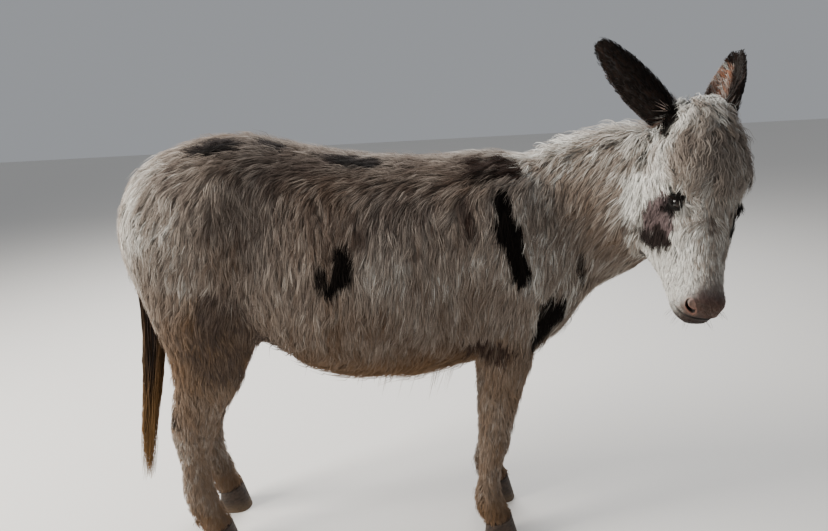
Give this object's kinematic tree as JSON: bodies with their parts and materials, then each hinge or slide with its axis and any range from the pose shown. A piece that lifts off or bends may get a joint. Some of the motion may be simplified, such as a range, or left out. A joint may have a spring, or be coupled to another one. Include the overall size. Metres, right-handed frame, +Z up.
{
  "type": "standing donkey, woolly coated young adult, still museum model",
  "caption": "Life-size standing donkey in a shaggy roan coat with dark patches, croup higher than the withers, neck bent and head turned out to its right side.",
  "frame": {"origin": "on the floor, below the middle of the animal's bounding box", "axes": "+X forwards along the trunk, +Y to the animal's left, +Z up"},
  "size_m": [1.5224, 0.5674, 1.2322],
  "materials": {
    "coat_roan": "shaggy grey-beige winter hair in soft locks, matte",
    "coat_pale": "pale cream wool and short hair, matte",
    "coat_dark": "black-brown hair with a soft sheen",
    "muzzle_skin": "pinkish grey skin with fine down",
    "hoof_horn": "dark ringed horn, dull",
    "eye": "wet dark brown eye"
  },
  "bodies": {
    "root": {"trunk": "coat_roan", "neck": "coat_roan", "head": "coat_pale", "eye_right": "eye", "eye_left": "eye", "ear_right": "coat_dark", "ear_left": "coat_dark", "upper_leg_fore_right": "coat_roan", "lower_leg_fore_right": "coat_roan", "hoof_fore_right": "hoof_horn", "upper_leg_fore_left": "coat_roan", "lower_leg_fore_left": "coat_roan", "hoof_fore_left": "hoof_horn", "upper_leg_hind_right": "coat_roan", "lower_leg_hind_right": "coat_roan", "hoof_hind_right": "hoof_horn", "upper_leg_hind_left": "coat_roan", "lower_leg_hind_left": "coat_roan", "hoof_hind_left": "hoof_horn", "tail_dock": "coat_roan", "tail_switch": "coat_dark"}
  },
  "joints": []
}
